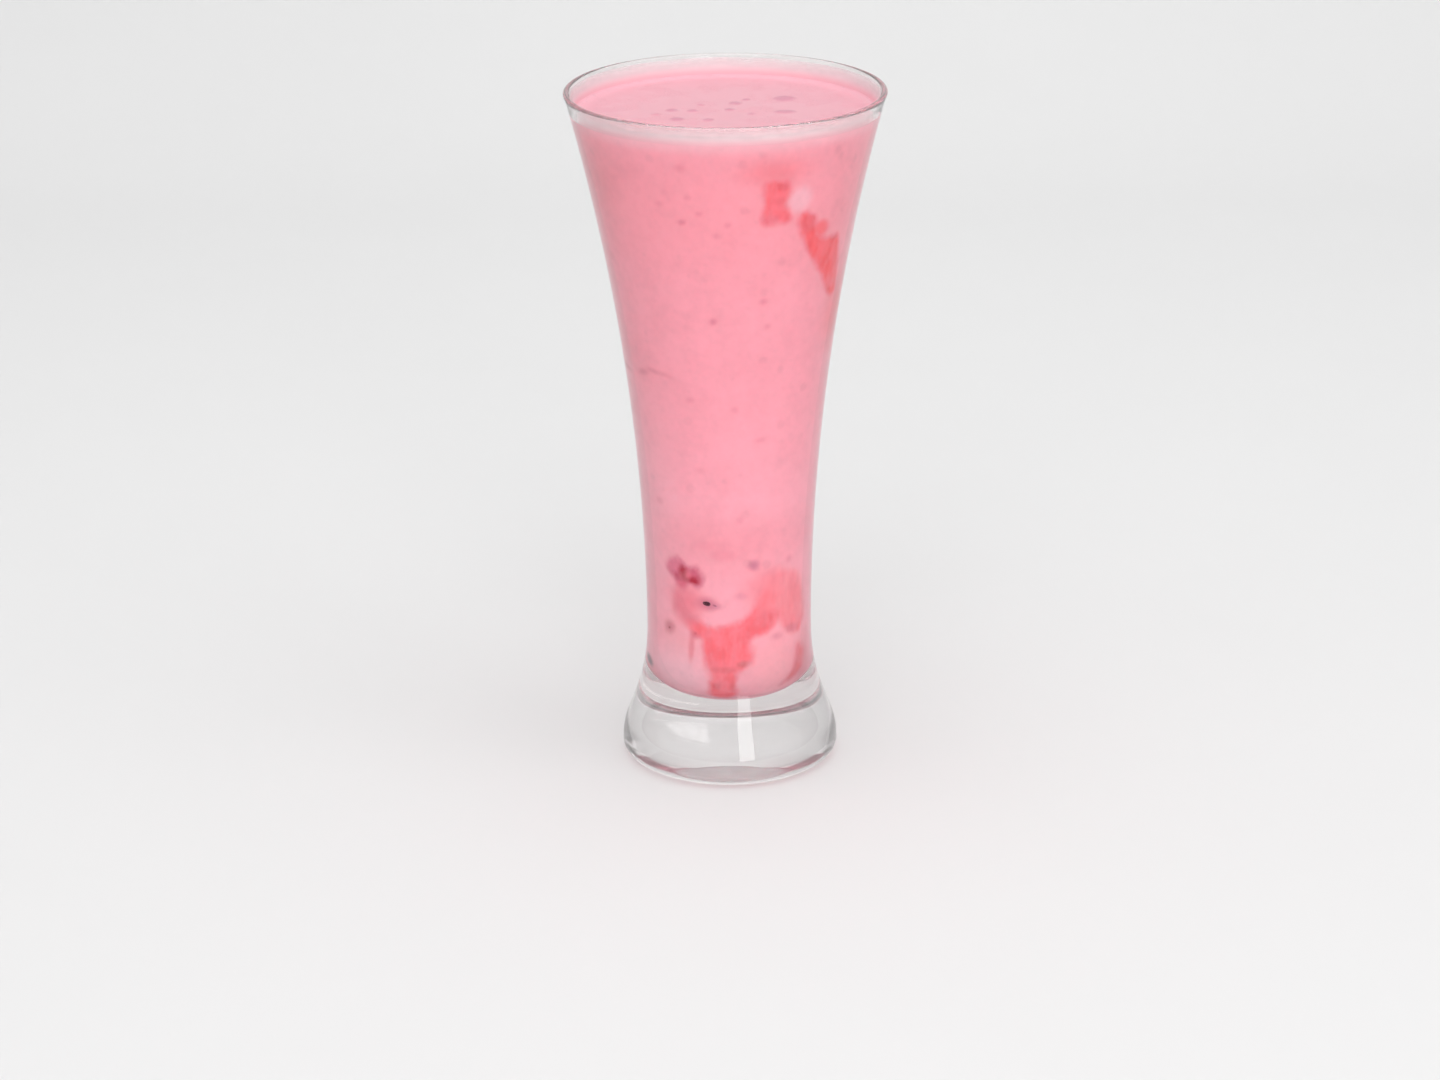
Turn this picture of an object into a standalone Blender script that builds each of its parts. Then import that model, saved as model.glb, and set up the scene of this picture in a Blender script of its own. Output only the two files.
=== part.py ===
"""A tall flared glass with a heavy foot, filled with a pink strawberry mocha.

Units are metres and +Z is up. The origin is the centre of the ring that the glass stands on, and -Y is
the front. Red fruit puree clings to the inside of the wall in four patches, and a piece of berry lies
against the glass low on the left. Places on the inner wall are given as an angle from the front, positive
to the right, and a path: the distance up the wall's own curve from the middle of the hollow's floor.
"""

import math

import bmesh
import bpy
from mathutils import Vector

# Glass outside
GLASS_HEIGHT = 0.180
RIM_RADIUS = 0.0409
WAIST_RADIUS = 0.0217
WAIST_HEIGHT = 0.036
FOOT_RADIUS = 0.02855
SHOULDER_RADIUS = 0.02845
FOOT_TOP = 0.005
FOOT_CORNER = 0.0034
FOOT_PULL_UP = 0.018
FOOT_PULL_OUT = 0.0283
FOOT_PULL_HEIGHT = 0.012

# Glass underside
STAND_RADIUS = 0.0242
HOLLOW_RISE = 0.0026
HOLLOW_PULL_EDGE = 0.0174
HOLLOW_PULL_MIDDLE = 0.0102

# Glass inside
WALL_AT_WAIST = 0.0028
WALL_AT_RIM = 0.00145
FLOOR_HEIGHT = 0.017
BOWL_TOP = 0.032
BOWL_SIDE_PULL = 0.010
BOWL_FLOOR_PULL = 0.013

# Drink
DRINK_LEVEL = 0.1741
MENISCUS_RISE = 0.0006
MENISCUS_REACH = 0.0014
MENISCUS_EDGE = 0.0003
GAP = 0.0003
MM = 0.001

# Round pieces and patches
SEGMENTS = 48
FLARE_STEPS = 8
BOWL_STEPS = 6
FOOT_STEPS = 7
CORNER_STEPS = 4
LIP_STEPS = 4
HOLLOW_STEPS = 2
PATCH_GRID = 0.0022
OUTLINE_STEPS = 3
CUTTER_REACH = 0.0012
MERGE_DISTANCE = 0.000001
SLICE_SNAP = 0.00002
SMOOTH_ANGLE = math.radians(35)

# Patch outlines on the inner wall: angle in degrees, path in millimetres
BASE_OUTLINE = [
    (-42, 47), (-45, 41), (-39, 38), (-29, 36.5), (-20.5, 33), (-18.5, 27), (-15, 23.5), (-17, 16.5),
    (-6, 14.8), (6, 17), (5, 24), (16, 27), (18, 31), (16, 34), (29, 35.5), (40, 37.5), (47, 34.5),
    (62, 33), (69, 38), (69, 45), (62, 50.5), (45, 53.2), (31, 52.5), (24, 48), (17.5, 43), (5.5, 39.2),
    (-13, 37.6), (-25, 40.2), (-33, 42), (-38, 46),
]
SIDE_OUTLINE = [(60, 30), (69, 27.5), (70, 22.5), (62, 19.5), (52, 18), (43, 17.4), (49, 21), (56, 24.5)]
BLOT_OUTLINE = [
    (15.2, 161.5), (20, 162.2), (25.5, 161.6), (26.8, 159), (25.2, 155.5), (28.2, 151), (22, 150.2),
    (15.4, 150.8), (16, 156),
]
STREAK_OUTLINE = [
    (34, 152.5), (40.5, 151), (43, 146.5), (50, 143.6), (58.5, 143.6), (63.5, 139), (66.5, 132), (67.5, 127),
    (60, 127), (53, 132), (44, 138.5), (36, 144.5), (32.4, 149.5),
]
BERRY_OUTLINE = [
    (-48, 55), (-52, 52.5), (-45, 50.2), (-40, 47.8), (-35, 47.4), (-30.5, 49), (-24, 48.6), (-19.5, 51),
    (-22.5, 54), (-31, 54.3), (-40, 56),
]

# Each patch: outline, depth at the edge, depth in the middle, all in metres
PATCHES = {
    "puree_base": (BASE_OUTLINE, 0.0007, 0.0022),
    "puree_side": (SIDE_OUTLINE, 0.0007, 0.0018),
    "puree_blot": (BLOT_OUTLINE, 0.0007, 0.0021),
    "puree_streak": (STREAK_OUTLINE, 0.0007, 0.0020),
    "berry_piece": (BERRY_OUTLINE, 0.0016, 0.0042),
}
DOME_WIDTH = 0.003

# Foam bubbles on the drink, in millimetres: x, y, radius
BUBBLES = [
    (-13.5, 1.7, 1.6), (-8.4, 1.1, 1.5), (-12.2, -7.5, 1.9), (-4.4, -8.5, 1.4), (1.1, 2.0, 1.3),
    (2.5, 8.9, 1.6), (5.2, 12.5, 1.0), (15.1, 13.3, 3.0), (15.0, -0.5, 2.4),
]
BUBBLE_FLATNESS = 0.35
BUBBLE_SINK = 0.0001

GLASS_COLOUR = (0.86, 0.90, 0.89, 1.0)
DRINK_COLOUR = (0.93, 0.42, 0.50, 1.0)
PUREE_COLOUR = (0.86, 0.16, 0.20, 1.0)
BERRY_COLOUR = (0.52, 0.05, 0.12, 1.0)


def clear_scene():
    """Remove whatever the scene holds."""
    for obj in list(bpy.data.objects):
        bpy.data.objects.remove(obj, do_unlink=True)


def make_material(name, colour, roughness, transmission=0.0):
    """Return a Principled material without any metal in it."""
    material = bpy.data.materials.new(name)
    material.use_nodes = True
    shader = material.node_tree.nodes["Principled BSDF"]
    shader.inputs["Base Color"].default_value = colour
    shader.inputs["Roughness"].default_value = roughness
    shader.inputs["Metallic"].default_value = 0.0
    shader.inputs["Transmission Weight"].default_value = transmission
    return material


def add_object(name, bm, material):
    """Turn a finished bmesh into a named, smoothly shaded object."""
    bmesh.ops.recalc_face_normals(bm, faces=bm.faces)
    mesh = bpy.data.meshes.new(name)
    bm.to_mesh(mesh)
    bm.free()
    mesh.shade_smooth()
    mesh.set_sharp_from_angle(angle=SMOOTH_ANGLE)
    obj = bpy.data.objects.new(name, mesh)
    bpy.context.scene.collection.objects.link(obj)
    if material:
        mesh.materials.append(material)
    return obj


def bezier(start, pull_start, pull_end, end, steps):
    """Return the points of a cubic curve in the (radius, height) plane, both ends included."""
    points = []
    for step in range(steps + 1):
        t = step / steps
        weights = ((1 - t) ** 3, 3 * t * (1 - t) ** 2, 3 * t * t * (1 - t), t ** 3)
        corners = (start, pull_start, pull_end, end)
        points.append(tuple(sum(w * c[axis] for w, c in zip(weights, corners)) for axis in (0, 1)))
    return points


def arc(centre, radius, first_angle, last_angle, steps):
    """Return points on an arc in the (radius, height) plane, both ends included, angles in degrees."""
    points = []
    for step in range(steps + 1):
        angle = math.radians(first_angle + (last_angle - first_angle) * step / steps)
        points.append((centre[0] + radius * math.cos(angle), centre[1] + radius * math.sin(angle)))
    return points


def outer_radius(height):
    """The flare is a parabola that starts upright at the waist."""
    share = (height - WAIST_HEIGHT) / (GLASS_HEIGHT - WAIST_HEIGHT)
    return WAIST_RADIUS + (RIM_RADIUS - WAIST_RADIUS) * max(share, 0.0) ** 2


def wall_thickness(height):
    """The wall thins evenly from the waist to the rim."""
    share = max((height - WAIST_HEIGHT) / (GLASS_HEIGHT - WAIST_HEIGHT), 0.0)
    return WALL_AT_WAIST + (WALL_AT_RIM - WALL_AT_WAIST) * share


def inner_radius(height):
    """Radius of the hollow above its rounded bowl."""
    return outer_radius(height) - wall_thickness(height)


def inner_profile(top, bowl_steps, flare_steps):
    """The hollow's outline from the middle of its floor up to a height."""
    side = WAIST_RADIUS - WALL_AT_WAIST
    bowl = bezier(
        (0.0, FLOOR_HEIGHT), (BOWL_FLOOR_PULL, FLOOR_HEIGHT), (side, BOWL_TOP - BOWL_SIDE_PULL),
        (side, BOWL_TOP), bowl_steps,
    )
    heights = [BOWL_TOP + (top - BOWL_TOP) * (step + 1) / flare_steps for step in range(flare_steps)]
    return bowl + [(inner_radius(height), height) for height in heights]


def path_lengths(profile):
    """Distance along a profile at each of its points."""
    lengths = [0.0]
    for (r0, z0), (r1, z1) in zip(profile, profile[1:]):
        lengths.append(lengths[-1] + math.hypot(r1 - r0, z1 - z0))
    return lengths


FINE_WALL = inner_profile(GLASS_HEIGHT, 40, 120)
FINE_PATHS = path_lengths(FINE_WALL)


def wall_point(angle, path, inset):
    """A point inside the wall, at an angle and a path, moved off the wall by the inset."""
    index = 1
    while index < len(FINE_PATHS) - 1 and FINE_PATHS[index] < path:
        index += 1
    (r0, z0), (r1, z1) = FINE_WALL[index - 1], FINE_WALL[index]
    run = FINE_PATHS[index] - FINE_PATHS[index - 1]
    share = (path - FINE_PATHS[index - 1]) / run
    radius = r0 + (r1 - r0) * share - inset * (z1 - z0) / run
    height = z0 + (z1 - z0) * share + inset * (r1 - r0) / run
    return Vector((radius * math.sin(angle), -radius * math.cos(angle), height))


def turn_profile(profile):
    """Spin a (radius, height) outline whose two ends lie on the axis into a closed bmesh."""
    bm = bmesh.new()
    verts = [bm.verts.new((radius, 0.0, height)) for radius, height in profile]
    edges = [bm.edges.new(pair) for pair in zip(verts, verts[1:])]
    bmesh.ops.spin(
        bm, geom=verts + edges, cent=(0, 0, 0), axis=(0, 0, 1), angle=math.tau, steps=SEGMENTS,
        use_merge=True,
    )
    bmesh.ops.remove_doubles(bm, verts=bm.verts, dist=MERGE_DISTANCE)
    return bm


def build_glass(material):
    """One solid of glass: the hollow, the rounded lip, the flare, the waist and the heavy foot."""
    lip = WALL_AT_RIM / 2
    lip_centre = (RIM_RADIUS - lip, GLASS_HEIGHT - lip)
    profile = inner_profile(GLASS_HEIGHT - lip, BOWL_STEPS, FLARE_STEPS)
    profile[-1] = (lip_centre[0] - lip, lip_centre[1])
    profile += arc(lip_centre, lip, 180, 0, LIP_STEPS)[1:]
    flare_drop = GLASS_HEIGHT - lip - WAIST_HEIGHT
    for step in range(1, FLARE_STEPS):
        height = GLASS_HEIGHT - lip - flare_drop * step / FLARE_STEPS
        profile.append((outer_radius(height), height))
    profile += bezier(
        (WAIST_RADIUS, WAIST_HEIGHT), (WAIST_RADIUS, FOOT_PULL_UP), (FOOT_PULL_OUT, FOOT_PULL_HEIGHT),
        (SHOULDER_RADIUS, FOOT_TOP), FOOT_STEPS,
    )
    profile += arc((FOOT_RADIUS - FOOT_CORNER, FOOT_CORNER), FOOT_CORNER, 0, -90, CORNER_STEPS)
    profile += bezier(
        (STAND_RADIUS, 0.0), (HOLLOW_PULL_EDGE, HOLLOW_RISE), (HOLLOW_PULL_MIDDLE, HOLLOW_RISE),
        (0.0, HOLLOW_RISE), HOLLOW_STEPS,
    )
    return add_object("glass", turn_profile(profile), material)


def close_curve(points, steps):
    """A smooth closed curve through the points (Catmull-Rom)."""
    count = len(points)
    curve = []
    for index in range(count):
        before, start, end, after = (points[(index + shift) % count] for shift in (-1, 0, 1, 2))
        for step in range(steps):
            t = step / steps
            curve.append(tuple(
                0.5 * (2 * b + (c - a) * t + (2 * a - 5 * b + 4 * c - d) * t * t
                       + (3 * b - a - 3 * c + d) * t ** 3)
                for a, b, c, d in zip(before, start, end, after)
            ))
    return curve


def grow_curve(curve, amount):
    """Move each point of a closed curve outwards along its normal."""
    count = len(curve)
    area = sum(curve[i - 1][0] * curve[i][1] - curve[i][0] * curve[i - 1][1] for i in range(count))
    side = math.copysign(amount, area)
    grown = []
    for index in range(count):
        (x0, y0), (x1, y1) = curve[index - 1], curve[(index + 1) % count]
        length = math.hypot(x1 - x0, y1 - y0)
        x, y = curve[index]
        grown.append((x + side * (y1 - y0) / length, y - side * (x1 - x0) / length))
    return grown


def edge_distance(point, curve):
    """Shortest distance from a point to a closed curve."""
    best = math.inf
    for start, end in zip(curve, curve[1:] + curve[:1]):
        run = Vector(end) - Vector(start)
        share = (Vector(point) - Vector(start)).dot(run) / run.length_squared
        foot = Vector(start) + run * min(max(share, 0.0), 1.0)
        best = min(best, (Vector(point) - foot).length)
    return best


def slice_grid(bm, curve):
    """Cut a flat sheet along a square grid, so that it can follow the round wall."""
    for axis in (0, 1):
        normal = Vector((1 - axis, axis, 0))
        low = min(point[axis] for point in curve)
        high = max(point[axis] for point in curve)
        cuts = max(int((high - low) / PATCH_GRID), 1)
        for cut in range(1, cuts):
            place = normal * (low + (high - low) * cut / cuts)
            geom = bm.verts[:] + bm.edges[:] + bm.faces[:]
            bmesh.ops.bisect_plane(bm, geom=geom, dist=SLICE_SNAP, plane_co=place, plane_no=normal)


def patch_mesh(outline, edge_depth, mid_depth, grow, skin):
    """A domed patch on the inner wall.

    Its outside lies at the inset called skin, its inside bulges from edge_depth to mid_depth, and grow
    widens and deepens it all round.
    """
    middle = sum(path for _, path in outline) / len(outline) * MM
    across = wall_point(math.pi / 2, middle, 0.0).x
    flat = [(math.radians(angle) * across, path * MM) for angle, path in outline]
    curve = grow_curve(close_curve(flat, OUTLINE_STEPS), grow)
    bm = bmesh.new()
    bm.faces.new([bm.verts.new((x, y, 0.0)) for x, y in curve])
    slice_grid(bm, curve)
    bmesh.ops.triangulate(bm, faces=bm.faces)
    inside = bmesh.ops.extrude_face_region(bm, geom=bm.faces[:], use_keep_orig=True)["geom"]
    inner = {part for part in inside if isinstance(part, bmesh.types.BMVert)}
    for vert in bm.verts:
        inset = skin
        if vert in inner:
            share = min(edge_distance(vert.co.xy, curve) / DOME_WIDTH, 1.0)
            inset = GAP + edge_depth + (mid_depth - edge_depth) * share * (2 - share) + grow
        vert.co = wall_point(vert.co.x / across, vert.co.y, inset)
    return bm


def build_patch(name, material):
    """One piece of puree or berry lying just inside the glass."""
    outline, edge_depth, mid_depth = PATCHES[name]
    bm = patch_mesh(outline, edge_depth, mid_depth, 0.0, GAP)
    return add_object(name, bm, material)


def build_cutter(name):
    """The pocket that a piece needs in the drink, open towards the glass."""
    outline, edge_depth, mid_depth = PATCHES[name]
    bm = patch_mesh(outline, edge_depth, mid_depth, GAP, -CUTTER_REACH)
    return add_object("pocket_" + name, bm, None)


def build_bubble(index, x, y, radius):
    """A low dome that is fused to the drink's surface."""
    bm = bmesh.new()
    bmesh.ops.create_uvsphere(bm, u_segments=10, v_segments=6, radius=radius * MM)
    bmesh.ops.scale(bm, vec=(1, 1, BUBBLE_FLATNESS), verts=bm.verts)
    bmesh.ops.translate(bm, vec=(x * MM, y * MM, DRINK_LEVEL - BUBBLE_SINK), verts=bm.verts)
    return add_object(f"bubble_{index}", bm, None)


def combine(target, operation, pieces):
    """Apply one Boolean with all the pieces to the target, then remove the pieces."""
    group = bpy.data.collections.new("pieces")
    bpy.context.scene.collection.children.link(group)
    for piece in pieces:
        bpy.context.scene.collection.objects.unlink(piece)
        group.objects.link(piece)
    boolean = target.modifiers.new("combine", "BOOLEAN")
    boolean.operation = operation
    boolean.operand_type = "COLLECTION"
    boolean.collection = group
    bpy.context.view_layer.update()
    evaluated = target.evaluated_get(bpy.context.evaluated_depsgraph_get())
    mesh = bpy.data.meshes.new_from_object(evaluated)
    target.modifiers.clear()
    target.data = mesh
    mesh.set_sharp_from_angle(angle=SMOOTH_ANGLE)
    for piece in pieces:
        bpy.data.objects.remove(piece, do_unlink=True)
    bpy.data.collections.remove(group)


def build_drink(material):
    """The drink fills the hollow up to its level, climbs a little at the wall and leaves room for fruit."""
    wall = inner_profile(DRINK_LEVEL, BOWL_STEPS, FLARE_STEPS)
    lengths = path_lengths(wall)
    profile = []
    for path in lengths[:-1]:
        point = wall_point(math.pi / 2, path, GAP)
        profile.append((max(point.x, 0.0), point.z))
    profile[0] = (0.0, FLOOR_HEIGHT + GAP)
    edge = inner_radius(DRINK_LEVEL) - GAP
    top = DRINK_LEVEL + MENISCUS_RISE
    profile += [
        (inner_radius(top) - GAP, top), (inner_radius(top) - GAP - MENISCUS_EDGE, top),
        (edge - MENISCUS_REACH / 2, DRINK_LEVEL + MENISCUS_RISE / 4), (edge - MENISCUS_REACH, DRINK_LEVEL),
        (0.0, DRINK_LEVEL),
    ]
    drink = add_object("drink", turn_profile(profile), material)
    bubbles = [build_bubble(index, *bubble) for index, bubble in enumerate(BUBBLES)]
    combine(drink, "UNION", bubbles)
    combine(drink, "DIFFERENCE", [build_cutter(name) for name in PATCHES])
    return drink


def main():
    """Build the glass, the drink and the fruit against the wall."""
    clear_scene()
    build_glass(make_material("clear_glass", GLASS_COLOUR, 0.03, 1.0))
    build_drink(make_material("pink_drink", DRINK_COLOUR, 0.35))
    puree = make_material("fruit_puree", PUREE_COLOUR, 0.30)
    berry = make_material("berry_flesh", BERRY_COLOUR, 0.35)
    for name in PATCHES:
        build_patch(name, berry if name == "berry_piece" else puree)


main()
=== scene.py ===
"""A strawberry mocha in a tall flared glass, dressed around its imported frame.

Every object is in metres in the frame's own coordinates: the glass stands on z = 0 with its axis on z, and
its front faces -y. The milky drink, the puree that clings to the wall and the piece of berry are painted
by their place on the wall of the hollow, given as an angle from the front (positive to the right) and a
path: the distance up the wall's own curve from the middle of the hollow's floor.
"""

from __future__ import annotations

import logging
import math
from dataclasses import dataclass, field
from enum import Enum
from typing import Sequence

import bmesh
import bpy
import numpy as np
from mathutils import Matrix, Vector, noise

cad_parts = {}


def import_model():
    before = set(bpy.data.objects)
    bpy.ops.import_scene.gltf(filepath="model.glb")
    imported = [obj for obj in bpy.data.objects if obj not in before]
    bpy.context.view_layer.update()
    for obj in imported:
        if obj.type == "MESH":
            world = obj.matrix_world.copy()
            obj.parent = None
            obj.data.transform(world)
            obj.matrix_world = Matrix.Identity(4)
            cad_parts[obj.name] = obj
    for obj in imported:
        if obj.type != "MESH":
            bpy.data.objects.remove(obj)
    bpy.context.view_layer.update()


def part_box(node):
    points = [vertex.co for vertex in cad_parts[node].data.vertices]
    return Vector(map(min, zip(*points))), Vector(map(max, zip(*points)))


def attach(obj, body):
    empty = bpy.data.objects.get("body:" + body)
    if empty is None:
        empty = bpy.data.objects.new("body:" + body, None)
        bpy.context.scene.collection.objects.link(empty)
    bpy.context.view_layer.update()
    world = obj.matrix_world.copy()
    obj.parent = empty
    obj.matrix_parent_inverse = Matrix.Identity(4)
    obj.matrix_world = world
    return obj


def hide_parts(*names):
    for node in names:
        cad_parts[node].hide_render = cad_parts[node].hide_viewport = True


LOG = logging.getLogger("strawberry_mocha")
BODY = "root"
MM = 0.001
MERGE_DISTANCE = 1e-7

Colour = tuple[float, float, float]
Profile = list[tuple[float, float]]


class Slot(Enum):
    """The material slots under which the log lists each piece."""

    GLASS = "glass"
    DRINK = "drink"
    PUREE = "puree"
    BERRY = "berry"


class Layer(Enum):
    """Names of the attributes that the paint reads."""

    MILK = "milk_tone"
    FRUIT = "fruit_tone"
    EDGE = "fruit_edge"


def linear(colour: Colour) -> Colour:
    """Turn a colour in display values from 0 to 255 into linear light.

    Args:
        colour: Red, green and blue as a screen shows them.

    Returns:
        The same colour in linear light from 0 to 1.
    """
    shares = (channel / 255 for channel in colour)
    return tuple(s / 12.92 if s <= 0.04045 else ((s + 0.055) / 1.055) ** 2.4 for s in shares)


def smooth_share(values: np.ndarray) -> np.ndarray:
    """Ease values from 0 to 1, flat at both ends and outside them."""
    clipped = np.clip(values, 0.0, 1.0)
    return clipped * clipped * (3 - 2 * clipped)


# Shader graphs


class Value:
    """A number socket that takes part in Python expressions, each of which adds Math nodes."""

    def __init__(self, graph: Graph, socket: bpy.types.NodeSocket) -> None:
        """Wrap one output socket of the graph."""
        self.graph = graph
        self.socket = socket

    def maths(self, operation: str, *others: Value | float, first: Value | float | None = None) -> Value:
        """Add a Math node.

        Args:
            operation: The Math node's operation.
            others: What follows this value in the operation.
            first: What comes before this value, for the reflected operators.

        Returns:
            The result.
        """
        terms = [self, *others] if first is None else [first, self]
        node = self.graph.node("ShaderNodeMath", {"operation": operation}, dict(enumerate(terms)))
        return Value(self.graph, node.outputs[0])

    def __add__(self, other: Value | float) -> Value:
        """This plus other."""
        return self.maths("ADD", other)

    __radd__ = __add__

    def __sub__(self, other: Value | float) -> Value:
        """This minus other."""
        return self.maths("SUBTRACT", other)

    def __rsub__(self, other: float) -> Value:
        """Other minus this."""
        return self.maths("SUBTRACT", first=other)

    def __mul__(self, other: Value | float) -> Value:
        """This times other."""
        return self.maths("MULTIPLY", other)

    __rmul__ = __mul__

    def __truediv__(self, other: Value | float) -> Value:
        """This divided by other."""
        return self.maths("DIVIDE", other)

    def __pow__(self, power: float) -> Value:
        """This to a power."""
        return self.maths("POWER", power)

    def ease(self, low: float, high: float) -> Value:
        """Ease from 0 at low to 1 at high; with low above high it falls instead."""
        settings = {"interpolation_type": "SMOOTHSTEP", "clamp": True}
        sockets = {"Value": self, "From Min": min(low, high), "From Max": max(low, high)}
        sockets |= {"To Min": 0.0, "To Max": 1.0} if low < high else {"To Min": 1.0, "To Max": 0.0}
        node = self.graph.node("ShaderNodeMapRange", settings, sockets)
        return Value(self.graph, node.outputs["Result"])


class Graph:
    """The node tree of one material, emptied and then filled by the finishes."""

    def __init__(self, tree: bpy.types.NodeTree) -> None:
        """Empty the tree and keep it."""
        self.tree = tree
        tree.nodes.clear()

    def node(self, kind: str, settings: dict[str, object], sockets: dict[str | int, object]) -> bpy.types.Node:
        """Add a node.

        Args:
            kind: The node's type.
            settings: Its properties, which are set first.
            sockets: Numbers, colours, vectors or links for its inputs, by name or place.

        Returns:
            The node.
        """
        node = self.tree.nodes.new(kind)
        for name, value in settings.items():
            setattr(node, name, value)
        for key, value in sockets.items():
            if isinstance(value, Value):
                value = value.socket
            if isinstance(value, bpy.types.NodeSocket):
                self.tree.links.new(value, node.inputs[key])
            else:
                node.inputs[key].default_value = value
        return node

    def place(self) -> bpy.types.NodeSocket:
        """The point's place in the object's own coordinates."""
        return self.node("ShaderNodeTexCoord", {}, {}).outputs["Object"]

    def height_mm(self) -> Value:
        """The point's height in millimetres."""
        parts = self.node("ShaderNodeSeparateXYZ", {}, {"Vector": self.place()})
        return Value(self, parts.outputs["Z"]) / MM

    def scaled(self, size_mm: Colour, seed: float) -> bpy.types.NodeSocket:
        """The point's place counted in steps of size_mm along each axis, moved by a seed."""
        sockets = {
            "Vector": self.place(), "Location": (seed, seed, seed),
            "Scale": tuple(1 / (size * MM) for size in size_mm),
        }
        return self.node("ShaderNodeMapping", {}, sockets).outputs[0]

    def cloud(
        self, size_mm: float, detail: float = 3.0, rough: float = 0.5, seed: float = 0.0, stretch: float = 1.0,
    ) -> Value:
        """Soft noise around 0.5 whose patches measure about size_mm, stretched upwards if wanted."""
        place = self.scaled((size_mm, size_mm, size_mm * stretch), seed)
        sockets = {"Vector": place, "Scale": 1.0, "Detail": detail, "Roughness": rough}
        return Value(self, self.node("ShaderNodeTexNoise", {}, sockets).outputs[0])

    def cells(self, size_mm: float, seed: float = 0.0) -> tuple[Value, Value]:
        """Scattered points about size_mm apart.

        Args:
            size_mm: The usual distance between neighbouring points.
            seed: Moves the pattern.

        Returns:
            The distance to the nearest point as a share of size_mm, and a chance from 0 to 1 for each point.
        """
        place = self.scaled((size_mm, size_mm, size_mm), seed)
        sockets = {"Vector": place, "Scale": 1.0, "Randomness": 1.0}
        node = self.node("ShaderNodeTexVoronoi", {"feature": "F1"}, sockets)
        parts = self.node("ShaderNodeSeparateColor", {}, {"Color": node.outputs["Color"]})
        return Value(self, node.outputs["Distance"]), Value(self, parts.outputs[0])

    def number(self, layer: Layer) -> Value:
        """A number attribute of the mesh."""
        node = self.node("ShaderNodeAttribute", {"attribute_name": layer.value}, {})
        return Value(self, node.outputs["Fac"])

    def tone(self, layer: Layer) -> bpy.types.NodeSocket:
        """A colour attribute of the mesh."""
        return self.node("ShaderNodeAttribute", {"attribute_name": layer.value}, {}).outputs["Color"]

    def mix(self, share: Value | float, first: object, second: object) -> bpy.types.NodeSocket:
        """Mix two colours, given as links or as linear colours."""
        settings = {"data_type": "RGBA", "clamp_factor": True}
        sockets = {0: share, 6: self.opaque(first), 7: self.opaque(second)}
        return self.node("ShaderNodeMix", settings, sockets).outputs[2]

    def dim(self, colour: bpy.types.NodeSocket, by: Value) -> bpy.types.NodeSocket:
        """Scale a colour by a number."""
        return self.node("ShaderNodeVectorMath", {"operation": "SCALE"}, {0: colour, "Scale": by}).outputs[0]

    def bump(self, height: Value, depth_mm: float, strength: float = 1.0) -> bpy.types.NodeSocket:
        """A normal from a height between 0 and 1 that stands for depth_mm."""
        sockets = {"Height": height, "Distance": depth_mm * MM, "Strength": strength}
        return self.node("ShaderNodeBump", {}, sockets).outputs["Normal"]

    @staticmethod
    def opaque(colour: object) -> object:
        """Give a three-part colour its alpha."""
        return (*colour, 1.0) if isinstance(colour, tuple) and len(colour) == 3 else colour

    def finish(self, shader: bpy.types.NodeSocket) -> None:
        """Link the shader to the material's output."""
        self.node("ShaderNodeOutputMaterial", {}, {"Surface": shader})


@dataclass(frozen=True)
class Finish:
    """A named surface finish."""

    name: str

    def material(self) -> bpy.types.Material:
        """Make the finish's material."""
        material = bpy.data.materials.new(self.name)
        material.use_nodes = True
        graph = Graph(material.node_tree)
        graph.finish(self.shade(graph))
        return material

    def shade(self, graph: Graph) -> bpy.types.NodeSocket:
        """Build the finish's shader in the graph and return its output."""
        raise NotImplementedError


@dataclass(frozen=True)
class ClearGlass(Finish):
    """Pressed clear glass: a faint grey body, slow waves in its faces and a little wear."""

    tint: Colour = (0.998, 0.968, 0.966)
    index: float = 1.5
    body: float = 0.94
    shade_tint: Colour = (0.93, 0.935, 0.935)

    def shade(self, graph: Graph) -> bpy.types.NodeSocket:
        """A transmissive surface that lets lamps through, so that what it holds is lit."""
        waves = graph.cloud(14.0, detail=1.0)
        wear = graph.cloud(3.0, detail=4.0, rough=0.65, seed=3.1)
        shader = graph.node("ShaderNodeBsdfPrincipled", {}, {
            "Base Color": (*self.tint, 1.0),
            "Roughness": wear.ease(0.45, 0.75) * 0.03,
            "IOR": self.index,
            "Transmission Weight": 1.0,
            "Alpha": self.body,
            "Normal": graph.bump(waves, 0.05),
        })
        rays = graph.node("ShaderNodeLightPath", {}, {})
        clear = graph.node("ShaderNodeBsdfTransparent", {}, {"Color": (*self.shade_tint, 1.0)})
        sockets = {0: rays.outputs["Is Shadow Ray"], 1: shader.outputs[0], 2: clear.outputs[0]}
        return graph.node("ShaderNodeMixShader", {}, sockets).outputs[0]


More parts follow.
